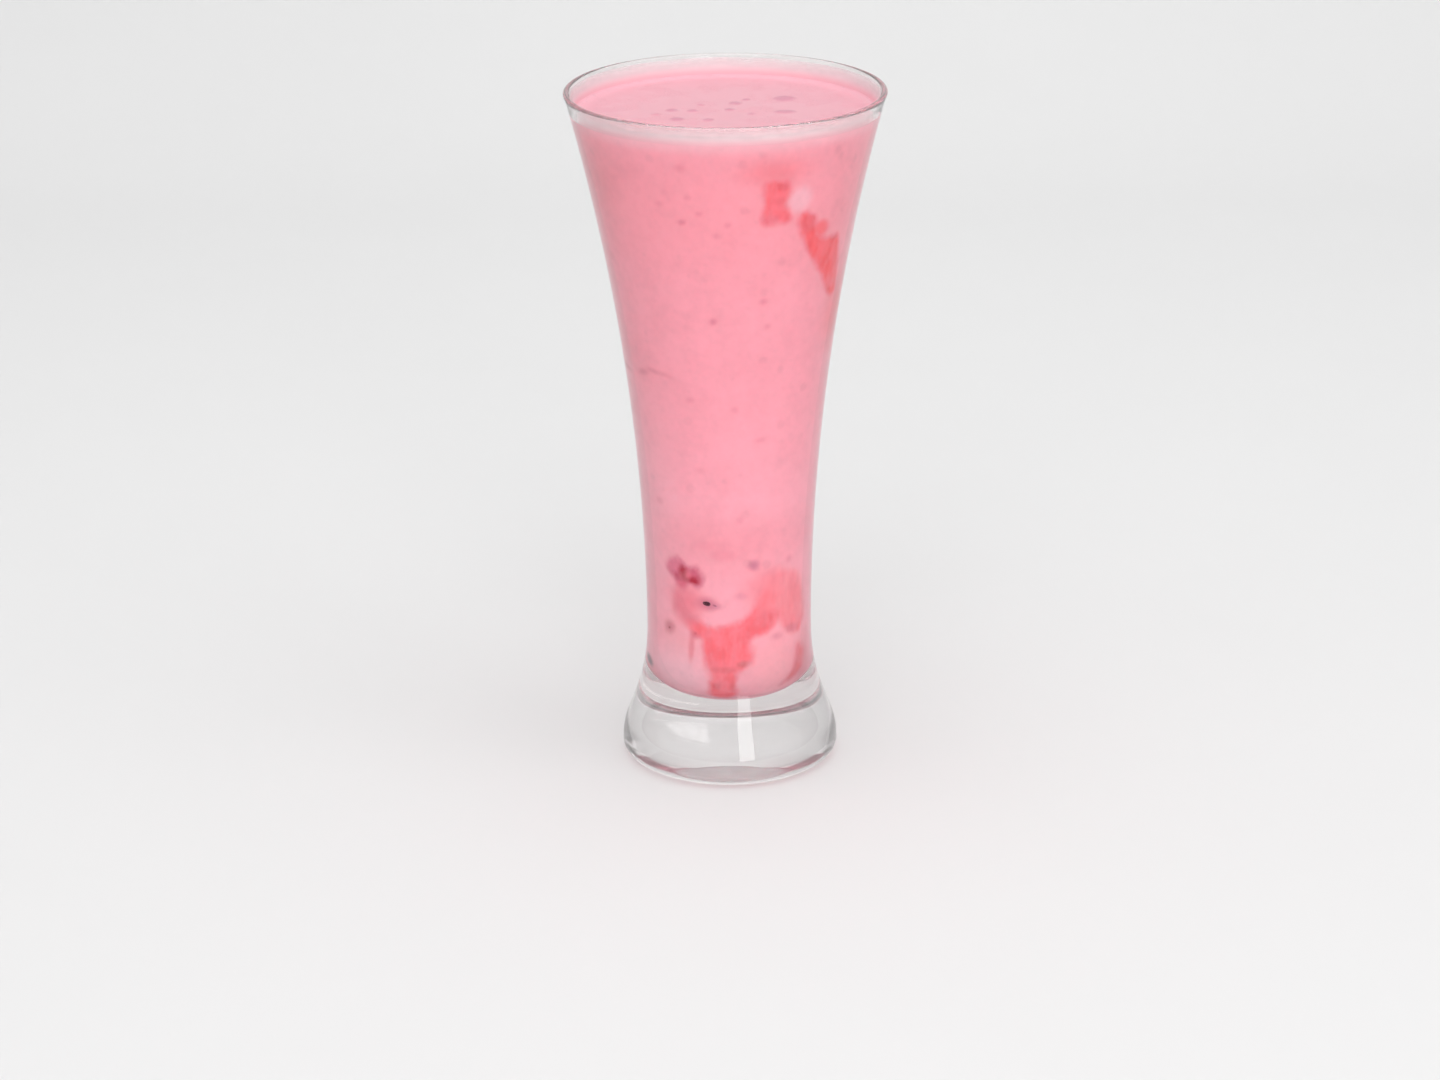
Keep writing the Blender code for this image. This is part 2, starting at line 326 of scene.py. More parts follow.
@dataclass(frozen=True)
class MilkPaint(Finish):
    """Milky drink pressed against the glass, stained where the fruit comes near the wall."""

    pore_spacing_mm: float = 4.6
    pore_share: float = 0.35
    pore_darkness: float = 0.07
    edge_roughness_mm: float = 1.3
    edge_softness_mm: float = 1.3
    softness_mm: float = 1.6
    subsurface: float = 0.25

    def paint(self, graph: Graph) -> bpy.types.NodeSocket:
        """Mix the milk's tone, its pores and the fruit's stain.

        Args:
            graph: The material's graph.

        Returns:
            The surface colour.
        """
        distance, chance = graph.cells(self.pore_spacing_mm)
        pores = distance.ease(0.38, 0.16) * chance.ease(1 - self.pore_share, 1.0)
        fine_distance, fine_chance = graph.cells(2.1, seed=0.4)
        fine_pores = fine_distance.ease(0.42, 0.15) * fine_chance.ease(0.6, 1.0) * 0.5
        swirl = graph.cloud(11.0, detail=4.0, rough=0.55, seed=1.7)
        grain = graph.cloud(2.4, detail=4.0, rough=0.6, seed=5.0)
        level = 1.0 - (pores + fine_pores) * self.pore_darkness
        level = level + (swirl - 0.5) * 0.19 + (grain - 0.5) * 0.17
        milk = graph.dim(graph.tone(Layer.MILK), level)
        ragged = (graph.cloud(3.0, detail=4.0, rough=0.6, seed=2.3, stretch=1.5) - 0.5) * self.edge_roughness_mm
        edge = graph.number(Layer.EDGE) + ragged * 2.0
        stain = edge.ease(-self.edge_softness_mm, self.edge_softness_mm)
        pulp = graph.cloud(1.8, detail=4.0, rough=0.65, seed=7.7, stretch=2.6)
        thin = graph.cloud(3.6, detail=3.0, rough=0.6, seed=3.3, stretch=1.6).ease(0.62, 0.38)
        fruit = graph.dim(graph.tone(Layer.FRUIT), 1.0 + (pulp - 0.5) * 0.30)
        return graph.mix(stain * (0.80 + thin * 0.20), milk, fruit)

    def shade(self, graph: Graph) -> bpy.types.NodeSocket:
        """A soft, matt body: behind the glass no film of air makes it shine."""
        shader = graph.node("ShaderNodeBsdfPrincipled", {}, {
            "Base Color": self.paint(graph),
            "Roughness": 0.6,
            "Specular IOR Level": 0.0,
            "Subsurface Weight": self.subsurface,
            "Subsurface Radius": (1.0, 0.45, 0.5),
            "Subsurface Scale": self.softness_mm * MM,
        })
        return shader.outputs[0]


@dataclass(frozen=True)
class FrothPaint(Finish):
    """The drink's open surface: wet, with fine froth and the dimples of burst bubbles."""

    fine_bubble_mm: float = 0.9

    def shade(self, graph: Graph) -> bpy.types.NodeSocket:
        """A softly glossy surface pitted by fine froth."""
        distance, chance = graph.cells(self.fine_bubble_mm)
        pits = distance.ease(0.1, 0.45)
        clusters = graph.cloud(9.0, detail=3.0, seed=4.4).ease(0.45, 0.62)
        swirl = graph.cloud(7.0, detail=4.0, rough=0.55, seed=8.2)
        # The swirl varies the froth's tone; the pits are painted darker, which is painted shade in the dimples.
        level = 1.0 + (swirl - 0.5) * 0.06 - (1.0 - pits) * clusters * chance * 0.10
        shader = graph.node("ShaderNodeBsdfPrincipled", {}, {
            "Base Color": graph.dim(graph.tone(Layer.MILK), level),
            "Roughness": 0.34 + clusters * 0.18,
            "IOR": 1.35,
            "Subsurface Weight": 0.3,
            "Subsurface Radius": (1.0, 0.45, 0.5),
            "Subsurface Scale": 1.6 * MM,
            "Normal": graph.bump(pits * clusters + swirl * 2.0, 0.08, 0.6),
        })
        return shader.outputs[0]


@dataclass(frozen=True)
class BerryPaint(MilkPaint):
    """Wet berry flesh with pale fibres, veiled by milk at its rim."""

    fibre_mm: float = 1.0

    def shade(self, graph: Graph) -> bpy.types.NodeSocket:
        """Deep crimson flesh under the same milk paint."""
        fibres = graph.cloud(self.fibre_mm, detail=5.0, rough=0.7, seed=6.1)
        shader = graph.node("ShaderNodeBsdfPrincipled", {}, {
            "Base Color": graph.dim(self.paint(graph), 0.86 + fibres * 0.28),
            "Roughness": 0.5,
            "Specular IOR Level": 0.0,
            "Subsurface Weight": 0.15,
            "Subsurface Radius": (1.0, 0.3, 0.3),
            "Subsurface Scale": 1.0 * MM,
        })
        return shader.outputs[0]


@dataclass(frozen=True)
class FilmPaint(Finish):
    """A thin veil of milk that thins out upwards."""

    low_mm: float = 174.9
    high_mm: float = 180.5
    low_tone: Colour = (247, 187, 198)
    high_tone: Colour = (243, 222, 226)

    def shade(self, graph: Graph) -> bpy.types.NodeSocket:
        """Dense and pink at the drink, broken up and clear near the lip."""
        height = graph.height_mm()
        runs = graph.cloud(7.0, detail=2.0, rough=0.4, seed=6.6, stretch=1.4) - 0.5
        cover = (height + runs * 2.0).ease(self.high_mm, self.low_mm + 1.0) * 0.95
        tone = graph.mix(height.ease(self.low_mm, self.low_mm + 2.6), linear(self.low_tone), linear(self.high_tone))
        veil = graph.node("ShaderNodeBsdfPrincipled", {}, {"Base Color": tone, "Roughness": 0.45, "IOR": 1.35})
        clear = graph.node("ShaderNodeBsdfTransparent", {}, {})
        return graph.node("ShaderNodeMixShader", {}, {0: cover, 1: clear.outputs[0], 2: veil.outputs[0]}).outputs[0]


@dataclass(frozen=True)
class PlainPaper(Finish):
    """The studio's pale sweep."""

    colour: Colour = (0.745, 0.745, 0.745)

    def shade(self, graph: Graph) -> bpy.types.NodeSocket:
        """A matt surface with the faintest mottle."""
        mottle = graph.cloud(60.0, detail=3.0)
        colour = graph.mix(mottle, self.colour, tuple(channel * 0.985 for channel in self.colour))
        shader = graph.node("ShaderNodeBsdfPrincipled", {}, {"Base Color": colour, "Roughness": 0.9})
        return shader.outputs[0]


# Shapes shared by the pieces


def bezier(corners: Sequence[tuple[float, float]], steps: int) -> Profile:
    """Points of a cubic curve in the (radius, height) plane.

    Args:
        corners: Start, two pulls and end.
        steps: How many straight runs stand for the curve.

    Returns:
        The points, both ends included.
    """
    points = []
    for step in range(steps + 1):
        t = step / steps
        weights = ((1 - t) ** 3, 3 * t * (1 - t) ** 2, 3 * t * t * (1 - t), t ** 3)
        points.append(tuple(sum(w * c[axis] for w, c in zip(weights, corners)) for axis in (0, 1)))
    return points


def arc(centre: tuple[float, float], radius: float, first: float, last: float, steps: int) -> Profile:
    """Points on an arc in the (radius, height) plane, angles in degrees, both ends included."""
    points = []
    for step in range(steps + 1):
        angle = math.radians(first + (last - first) * step / steps)
        points.append((centre[0] + radius * math.cos(angle), centre[1] + radius * math.sin(angle)))
    return points


def turn_profile(
    profile: Profile, segments: int, ring: bool = False, doublings: int = 4,
) -> bmesh.types.BMesh:
    """Turn an outline into a closed bmesh with faces outwards.

    A narrow wedge is spun, and turned copies of what is there double it until the ring closes.

    Args:
        profile: The outline as (radius, height) points, with both ends on the axis unless it is a ring's.
        segments: How many faces go round.
        ring: Whether the outline's last point joins its first one.
        doublings: How often the wedge is doubled; segments is a multiple of two to that power.

    Returns:
        The closed bmesh.
    """
    bm = bmesh.new()
    verts = [bm.verts.new((radius, 0.0, height)) for radius, height in profile]
    following = verts[1:] + verts[:1] if ring else verts[1:]
    edges = [bm.edges.new(pair) for pair in zip(verts, following)]
    wedge = math.tau / 2 ** doublings
    bmesh.ops.spin(
        bm, geom=verts + edges, cent=(0, 0, 0), axis=(0, 0, 1), angle=wedge,
        steps=segments // 2 ** doublings, use_merge=False, use_duplicate=False,
    )
    for step in range(doublings):
        geom = bm.verts[:] + bm.edges[:] + bm.faces[:]
        copied = bmesh.ops.duplicate(bm, geom=geom)["geom"]
        turned = [part for part in copied if isinstance(part, bmesh.types.BMVert)]
        turn = Matrix.Rotation(wedge * 2 ** step, 3, "Z")
        bmesh.ops.rotate(bm, cent=(0, 0, 0), matrix=turn, verts=turned)
    bmesh.ops.remove_doubles(bm, verts=bm.verts, dist=MERGE_DISTANCE)
    bmesh.ops.recalc_face_normals(bm, faces=bm.faces)
    return bm


def add_piece(
    name: str, bm: bmesh.types.BMesh, materials: Sequence[bpy.types.Material], crease: float = 180.0,
) -> bpy.types.Object:
    """Turn a bmesh into a smoothly shaded object at the origin.

    Args:
        name: The object's name.
        bm: The finished bmesh, which is freed.
        materials: The materials for its slots, in order.
        crease: The angle in degrees above which an edge stays sharp.

    Returns:
        The object.
    """
    mesh = bpy.data.meshes.new(name)
    bm.to_mesh(mesh)
    bm.free()
    mesh.shade_smooth()
    if crease < 180:
        mesh.set_sharp_from_angle(angle=math.radians(crease))
    for material in materials:
        mesh.materials.append(material)
    piece = bpy.data.objects.new(name, mesh)
    bpy.context.scene.collection.objects.link(piece)
    return piece


def hand_over(piece: bpy.types.Object, slot: Slot, *nodes: str) -> None:
    """Let a piece ride on the object's body, hide the frame's nodes that it stands for and log its slot."""
    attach(piece, BODY)
    if nodes:
        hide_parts(*nodes)
    LOG.info("%s: %d faces, slot %s, stands for %s", piece.name, len(piece.data.polygons), slot.value, nodes)


@dataclass(frozen=True)
class Hollow:
    """The shape of the glass: its outside flare and the hollow that the drink fills."""

    height: float
    rim_radius: float
    waist_radius: float = 0.0217
    waist_height: float = 0.036
    wall_at_waist: float = 0.0028
    wall_at_rim: float = 0.00145
    floor_height: float = 0.017
    bowl_top: float = 0.032
    bowl_side_pull: float = 0.010
    bowl_floor_pull: float = 0.013

    def flare_share(self, height: float) -> float:
        """How far up the flare a height is, from 0 at the waist to 1 at the rim."""
        return max((height - self.waist_height) / (self.height - self.waist_height), 0.0)

    def outer_radius(self, height: float) -> float:
        """The flare is a parabola that starts upright at the waist."""
        return self.waist_radius + (self.rim_radius - self.waist_radius) * self.flare_share(height) ** 2

    def inner_radius(self, height: float) -> float:
        """Radius of the hollow above its rounded bowl, inside a wall that thins evenly upwards."""
        thinning = (self.wall_at_rim - self.wall_at_waist) * self.flare_share(height)
        return self.outer_radius(height) - self.wall_at_waist - thinning

    def profile(self, top: float, bowl_steps: int, flare_steps: int) -> Profile:
        """The hollow's outline from the middle of its floor up to a height."""
        side = self.waist_radius - self.wall_at_waist
        corners = (
            (0.0, self.floor_height), (self.bowl_floor_pull, self.floor_height),
            (side, self.bowl_top - self.bowl_side_pull), (side, self.bowl_top),
        )
        heights = [self.bowl_top + (top - self.bowl_top) * (step + 1) / flare_steps for step in range(flare_steps)]
        return bezier(corners, bowl_steps) + [(self.inner_radius(height), height) for height in heights]


class Wall:
    """The wall of the hollow as a surface with its own coordinates."""

    def __init__(self, hollow: Hollow) -> None:
        """Walk the wall's curve finely and keep its points and lengths."""
        self.points = np.array(hollow.profile(hollow.height, 60, 200))
        runs = np.hypot(*np.diff(self.points, axis=0).T)
        self.paths = np.concatenate([[0.0], np.cumsum(runs)])

    def radius_at(self, path: float) -> float:
        """The wall's radius at a path in metres."""
        return float(np.interp(path, self.paths, self.points[:, 0]))

    def point(self, angle: float, path: float, inset: float) -> Vector:
        """A point at an angle in radians and a path in metres, moved off the wall towards the drink."""
        index = int(np.clip(np.searchsorted(self.paths, path), 1, len(self.paths) - 1))
        run = self.paths[index] - self.paths[index - 1]
        start, end = self.points[index - 1], self.points[index]
        radius, height = start + (end - start) * (path - self.paths[index - 1]) / run
        step_out, step_up = end - start
        radius -= inset * step_up / run
        height += inset * step_out / run
        return Vector((radius * math.sin(angle), -radius * math.cos(angle), height))

    def inset_profile(self, top_path: float, inset: float, step: float) -> Profile:
        """The wall's outline moved by an inset, with a point about every step of its path."""
        count = max(int(top_path / step), 1)
        points = [self.point(math.pi / 2, top_path * index / count, inset) for index in range(count + 1)]
        outline = [(max(point.x, 0.0), point.z) for point in points]
        outline[0] = (0.0, outline[0][1])
        return outline

    def coordinates(self, places: np.ndarray) -> tuple[np.ndarray, np.ndarray]:
        """Angles and paths of places on or near the wall.

        Args:
            places: One row of x, y and z in metres for each place.

        Returns:
            The angles in degrees and the paths in millimetres.
        """
        radii = np.hypot(places[:, 0], places[:, 1])
        angles = np.degrees(np.arctan2(places[:, 0], -places[:, 1]))
        climb = self.points.sum(axis=1)
        return angles, np.interp(radii + places[:, 2], climb, self.paths) / MM


@dataclass(frozen=True)
class Spot:
    """A soft spot of another tone on the wall: its place, half width, half height and turn."""

    angle: float
    path: float
    half_width: float
    half_height: float
    colour: Colour
    strength: float = 1.0
    turn: float = 0.0
    softness: float = 0.5

    def share(self, angles: np.ndarray, paths: np.ndarray, wall: Wall) -> np.ndarray:
        """How strongly the spot covers each place, from 0 to its strength."""
        across = np.radians(angles - self.angle) * wall.radius_at(self.path * MM) / MM
        up = paths - self.path
        cosine, sine = math.cos(math.radians(self.turn)), math.sin(math.radians(self.turn))
        along = (across * cosine + up * sine) / self.half_width
        beside = (up * cosine - across * sine) / self.half_height
        reach = np.hypot(along, beside)
        return self.strength * smooth_share((1 + self.softness - reach) / (2 * self.softness))


@dataclass(frozen=True)
class Belt:
    """A soft belt of another tone between two paths, right round the wall or only behind an angle."""

    low: float
    high: float
    colour: Colour
    strength: float = 1.0
    softness: float = 1.0
    behind: float = 0.0
    turn_softness: float = 25.0

    def share(self, angles: np.ndarray, paths: np.ndarray, wall: Wall) -> np.ndarray:
        """How strongly the belt covers each place, from 0 to its strength."""
        beyond = np.maximum(self.low - paths, paths - self.high)
        share = self.strength * smooth_share(0.5 - beyond / (2 * self.softness))
        if self.behind:
            share = share * smooth_share(0.5 + (np.abs(angles) - self.behind) / (2 * self.turn_softness))
        return share


@dataclass(frozen=True)
class Patch:
    """A patch of fruit against the wall: its outline, depths in millimetres and tone."""

    name: str
    slot: Slot
    outline: Sequence[tuple[float, float]]
    edge_depth: float
    mid_depth: float
    colour: Colour
    marks: Sequence[Spot] = ()
    veils: Sequence[Spot] = ()
    veil_width: float = 2.6
    sharpness: float = 1.0
    dome_width: float = 3.0

    def flat_outline(self, wall: Wall, steps: int) -> list[tuple[float, float]]:
        """The outline unrolled into millimetres across and up, rounded by a smooth closed curve."""
        across = self.across(wall)
        points = [(math.radians(angle) * across, path) for angle, path in self.outline]
        count = len(points)
        curve = []
        for index in range(count):
            before, start, end, after = (points[(index + shift) % count] for shift in (-1, 0, 1, 2))
            for step in range(steps):
                t = step / steps
                curve.append(tuple(
                    0.5 * (2 * b + (c - a) * t + (2 * a - 5 * b + 4 * c - d) * t * t
                           + (3 * b - a - 3 * c + d) * t ** 3)
                    for a, b, c, d in zip(before, start, end, after)
                ))
        return curve

    def across(self, wall: Wall) -> float:
        """Millimetres across the wall for each radian at the patch's middle."""
        middle = sum(path for _, path in self.outline) / len(self.outline)
        return wall.radius_at(middle * MM) / MM

    def inside_by(self, angles: np.ndarray, paths: np.ndarray, wall: Wall) -> np.ndarray:
        """How far inside the outline each place is, in millimetres, and below zero outside it."""
        curve = np.array(self.flat_outline(wall, 6))
        places = np.stack([np.radians(angles) * self.across(wall), paths], axis=1)
        best = np.full(len(places), np.inf)
        crossings = np.zeros(len(places), dtype=int)
        for start, end in zip(curve, np.roll(curve, -1, axis=0)):
            run = end - start
            share = np.clip((places - start) @ run / (run @ run), 0.0, 1.0)
            best = np.minimum(best, np.hypot(*(places - start - share[:, None] * run).T))
            if start[1] != end[1]:
                spans = (start[1] > places[:, 1]) != (end[1] > places[:, 1])
                reach = start[0] + (places[:, 1] - start[1]) / run[1] * run[0]
                crossings += spans & (places[:, 0] < reach)
        return np.where(crossings % 2 == 1, best, -best)


@dataclass(frozen=True)
class Palette:
    """Where each tone of the drink lies."""

    wall: Wall
    patches: Sequence[Patch]
    milk: Colour
    milk_marks_and_painted_light: Sequence[Spot | Belt]
    far_edge: float = -6.0

    def dress(self, piece: bpy.types.Object) -> None:
        """Give a piece the tone attributes that its paint reads.

        Args:
            piece: A piece whose mesh lies on the wall of the hollow.
        """
        mesh = piece.data
        places = np.empty(len(mesh.vertices) * 3)
        mesh.vertices.foreach_get("co", places)
        angles, paths = self.wall.coordinates(places.reshape(-1, 3))
        edge = np.full(len(angles), self.far_edge)
        fruit = np.tile(np.array(linear(self.patches[0].colour)), (len(angles), 1))
        milk = self.painted(self.milk, self.milk_marks_and_painted_light, angles, paths)
        for patch in self.patches:
            depth = patch.inside_by(angles, paths, self.wall) * patch.sharpness
            nearer = depth > edge
            edge[nearer] = depth[nearer]
            fruit[nearer] = self.veiled(patch, depth, milk, angles, paths)[nearer]
        self.write(mesh, Layer.MILK, milk)
        self.write(mesh, Layer.FRUIT, fruit)
        mesh.attributes.new(Layer.EDGE.value, "FLOAT", "POINT").data.foreach_set("value", edge.astype(np.float32))

    def painted(
        self, base: Colour, marks: Sequence[Spot | Belt], angles: np.ndarray, paths: np.ndarray,
    ) -> np.ndarray:
        """Lay soft marks over a base tone, in linear light.

        Args:
            base: The tone under the marks.
            marks: The marks, the first one lowest.
            angles: The places' angles in degrees.
            paths: The places' paths in millimetres.

        Returns:
            One row of red, green and blue for each place.
        """
        tones = np.tile(np.array(linear(base)), (len(angles), 1))
        for mark in marks:
            share = mark.share(angles, paths, self.wall)[:, None]
            tones = tones * (1 - share) + np.array(linear(mark.colour)) * share
        return tones

    def veiled(
        self, patch: Patch, depths: np.ndarray, milk: np.ndarray, angles: np.ndarray, paths: np.ndarray,
    ) -> np.ndarray:
        """A patch's tones, faded into the milk near its outline where milk veils it.

        Args:
            patch: The patch.
            depths: How far inside its outline each place is, in millimetres.
            milk: The milk's own tones.
            angles: The places' angles in degrees.
            paths: The places' paths in millimetres.

        Returns:
            One row of red, green and blue for each place.
        """
        tones = self.painted(patch.colour, patch.marks, angles, paths)
        for veil in patch.veils:
            near = 1 - smooth_share(depths / patch.veil_width)
            share = (veil.share(angles, paths, self.wall) * near)[:, None]
            tones = tones * (1 - share) + milk * share
        return tones

    @staticmethod
    def write(mesh: bpy.types.Mesh, layer: Layer, tones: np.ndarray) -> None:
        """Store one linear colour for each vertex."""
        rows = np.concatenate([tones, np.ones((len(tones), 1))], axis=1)
        attribute = mesh.attributes.new(layer.value, "FLOAT_COLOR", "POINT")
        attribute.data.foreach_set("color", rows.astype(np.float32).ravel())


# Sub-assemblies


@dataclass
class GlassVessel:
    """The glass: one finely turned solid that stands for the frame's faceted one."""

    hollow: Hollow
    foot_radius: float = 0.02855
    shoulder_radius: float = 0.02845
    foot_top: float = 0.005
    foot_corner: float = 0.0034
    foot_pull_up: float = 0.018
    foot_pull_out: float = 0.0283
    foot_pull_height: float = 0.012
    stand_radius: float = 0.0242
    hollow_rise: float = 0.0026
    hollow_pull_edge: float = 0.0174
    hollow_pull_middle: float = 0.0102
    segments: int = 256
    finish: ClearGlass = ClearGlass("clear_glass")

    def outline(self) -> Profile:
        """The whole outline: the hollow, the lip, the flare, the foot and the underside."""
        shape = self.hollow
        lip = shape.wall_at_rim / 2
        lip_centre = (shape.rim_radius - lip, shape.height - lip)
        outline = shape.profile(shape.height - lip, 40, 90)
        outline[-1] = (lip_centre[0] - lip, lip_centre[1])
        outline += arc(lip_centre, lip, 180, 0, 14)[1:]
        top = shape.height - lip
        heights = [top - (top - shape.waist_height) * step / 90 for step in range(1, 90)]
        outline += [(shape.outer_radius(height), height) for height in heights]
        outline += bezier((
            (shape.waist_radius, shape.waist_height), (shape.waist_radius, self.foot_pull_up),
            (self.foot_pull_out, self.foot_pull_height), (self.shoulder_radius, self.foot_top),
        ), 44)
        outline += arc((self.foot_radius - self.foot_corner, self.foot_corner), self.foot_corner, 0, -90, 16)
        outline += bezier((
            (self.stand_radius, 0.0), (self.hollow_pull_edge, self.hollow_rise),
            (self.hollow_pull_middle, self.hollow_rise), (0.0, self.hollow_rise),
        ), 30)
        return outline

    def build(self) -> bpy.types.Object:
        """Turn the outline and dress it in clear glass."""
        bm = turn_profile(self.outline(), self.segments)
        piece = add_piece("clear_glass_vessel", bm, [self.finish.material()])
        hand_over(piece, Slot.GLASS, "glass")
        return piece


@dataclass(frozen=True)
class Bubble:
    """A low bubble on the drink: its place and half widths in millimetres, and its tone's strength."""

    x: float
    y: float
    half_width: float
    half_depth: float
    strength: float = 1.0


@dataclass
class MilkDrink:
    """The milky drink: its body against the wall and its open, frothy surface."""

    hollow: Hollow
    wall: Wall
    palette: Palette
    level: float
    bubbles: Sequence[Bubble]
    froth_tone: Colour = (224, 163, 175)
    edge_tone: Colour = (234, 176, 188)
    bubble_tone: Colour = (208, 142, 160)
    sunk_in_wall: float = 0.00012
    meniscus_rise: float = 0.0010
    meniscus_reach: float = 0.0026
    edge_fade: float = 0.004
    bubble_height: float = 0.0003
    segments: int = 240
    side: MilkPaint = MilkPaint("milk_at_the_glass")
    top: FrothPaint = FrothPaint("froth")

    def outline(self) -> Profile:
        """The outline up the wall, over the meniscus and in to the axis."""
        top_height = self.level + self.meniscus_rise
        top_path = float(np.interp(top_height, self.wall.points[:, 1], self.wall.paths))
        outline = self.wall.inset_profile(top_path, -self.sunk_in_wall, 0.00055)
        edge = outline[-1][0]
        for step in range(1, 9):
            share = step / 8
            outline.append((edge - self.meniscus_reach * share, self.level + self.meniscus_rise * (1 - share) ** 2))
        start = outline[-1][0]
        rings = 60
        outline += [(start * (1 - step / rings), self.level) for step in range(1, rings + 1)]
        return outline

    def raise_bubbles(self, bm: bmesh.types.BMesh) -> None:
        """Lift low domes out of the surface, each with a slightly raised rim."""
        for vert in bm.verts:
            if abs(vert.co.z - self.level) > MERGE_DISTANCE:
                continue
            for bubble in self.bubbles:
                across = (vert.co.x / MM - bubble.x) / bubble.half_width
                along = (vert.co.y / MM - bubble.y) / bubble.half_depth
                reach = math.hypot(across, along)
                if reach < 1:
                    vert.co.z += self.bubble_height * math.sqrt(1 - reach * reach)

    def tint_surface(self, piece: bpy.types.Object) -> None:
        """Give the open surface its own tone, darker inside each bubble.

        Args:
            piece: The drink, already dressed by the palette.
        """
        mesh = piece.data
        places = np.empty(len(mesh.vertices) * 3)
        mesh.vertices.foreach_get("co", places)
        x, y, z = places.reshape(-1, 3).T
        radii = np.hypot(x, y)
        wall_radii = np.interp(z, self.wall.points[:, 1], self.wall.points[:, 0])
        open_top = (z >= self.level - MERGE_DISTANCE) & (radii < wall_radii)
        near_wall = smooth_share((radii - wall_radii) / self.edge_fade + 1)[:, None]
        tones = np.array(linear(self.froth_tone)) * (1 - near_wall) + np.array(linear(self.edge_tone)) * near_wall
        for bubble in self.bubbles:
            across, along = (x / MM - bubble.x) / bubble.half_width, (y / MM - bubble.y) / bubble.half_depth
            share = bubble.strength * smooth_share((1.25 - np.hypot(across, along)) / 0.6)[:, None]
            tones = tones * (1 - share) + np.array(linear(self.bubble_tone)) * share
        layer = mesh.attributes[Layer.MILK.value]
        colours = np.empty(len(x) * 4, dtype=np.float32)
        layer.data.foreach_get("color", colours)
        colours = colours.reshape(-1, 4)
        colours[open_top, :3] = tones[open_top]
        layer.data.foreach_set("color", colours.ravel())
        edges = mesh.attributes[Layer.EDGE.value]
        values = np.empty(len(x), dtype=np.float32)
        edges.data.foreach_get("value", values)
        values[open_top] = self.palette.far_edge
        edges.data.foreach_set("value", values)

    def build(self) -> bpy.types.Object:
        """Turn the drink, raise its bubbles and paint it."""
        bm = turn_profile(self.outline(), self.segments)
        self.raise_bubbles(bm)
        limit = self.hollow.inner_radius(self.level) - self.sunk_in_wall
        for face in bm.faces:
            middle = face.calc_center_median()
            if middle.z >= self.level - MERGE_DISTANCE and math.hypot(middle.x, middle.y) < limit:
                face.material_index = 1
        piece = add_piece("milky_drink", bm, [self.side.material(), self.top.material()], crease=60.0)
        self.palette.dress(piece)
        self.tint_surface(piece)
        hand_over(piece, Slot.DRINK, "drink")
        return piece


@dataclass
class MilkFilm:
    """The thin veil of milk that the drink leaves on the wall between its level and the lip."""

    hollow: Hollow
    level: float
    low_lap: float = 0.0008
    lip_margin: float = 0.0009
    off_wall: float = 0.00003
    thickness: float = 0.00006
    steps: int = 10
    segments: int = 240
    finish: FilmPaint = FilmPaint("milk_film")

    def build(self) -> bpy.types.Object:
        """Turn the film's narrow outline into a ring."""
        low, high = self.level + self.low_lap, self.hollow.height - self.lip_margin
        heights = [low + (high - low) * step / self.steps for step in range(self.steps + 1)]
        outer = [(self.hollow.inner_radius(height) - self.off_wall, height) for height in heights]
        inner = [(radius - self.thickness, height) for radius, height in reversed(outer)]
        bm = turn_profile(outer + inner, self.segments, ring=True)
        piece = add_piece("milk_film", bm, [self.finish.material()], crease=60.0)
        hand_over(piece, Slot.DRINK)
        return piece


@dataclass
class FruitPatch:
    """One patch of puree or berry, pressed against the glass in front of the drink."""

    patch: Patch
    wall: Wall
    palette: Palette
    finish: MilkPaint
    grid: float = 0.6
    sunk_in_wall: float = 0.17

    def sheet(self, curve: list[tuple[float, float]]) -> bmesh.types.BMesh:
        """A flat sheet inside the outline, cut along a square grid and into triangles."""
        bm = bmesh.new()
        bm.faces.new([bm.verts.new((x, y, 0.0)) for x, y in curve])
        for axis in (0, 1):
            normal = Vector((1 - axis, axis, 0))
            low = min(point[axis] for point in curve)
            high = max(point[axis] for point in curve)
            cuts = max(int((high - low) / self.grid), 1)
            for cut in range(1, cuts):
                place = normal * (low + (high - low) * cut / cuts)
                geom = bm.verts[:] + bm.edges[:] + bm.faces[:]
                bmesh.ops.bisect_plane(bm, geom=geom, dist=0.004, plane_co=place, plane_no=normal)
        bmesh.ops.triangulate(bm, faces=bm.faces)
        return bm

    def build(self) -> bpy.types.Object:
        """Thicken the sheet into a domed patch and roll it onto the wall."""
        across = self.patch.across(self.wall)
        curve = self.patch.flat_outline(self.wall, 8)
        bm = self.sheet(curve)
        grown = bmesh.ops.extrude_face_region(bm, geom=bm.faces[:], use_keep_orig=True)["geom"]
        inner = {part for part in grown if isinstance(part, bmesh.types.BMVert)}
        angles = np.array([math.degrees(vert.co.x / across) for vert in bm.verts])
        paths = np.array([vert.co.y for vert in bm.verts])
        depths = np.maximum(self.patch.inside_by(angles, paths, self.wall), 0.0)
        for vert, depth in zip(bm.verts[:], depths):
            inset = -self.sunk_in_wall
            if vert in inner:
                share = min(depth / self.patch.dome_width, 1.0)
                lumps = noise.noise(Vector((vert.co.x, vert.co.y, 0.0)) / 2.2) * 0.4 * share
                swell = (self.patch.mid_depth - self.patch.edge_depth) * share * (2 - share)
                inset = self.patch.edge_depth + swell + lumps
            vert.co = self.wall.point(vert.co.x / across, vert.co.y * MM, inset * MM)
        bmesh.ops.recalc_face_normals(bm, faces=bm.faces)
        piece = add_piece(f"{self.patch.name}_fruit", bm, [self.finish.material()], crease=35.0)
        self.palette.dress(piece)
        hand_over(piece, self.patch.slot, self.patch.name)
        return piece


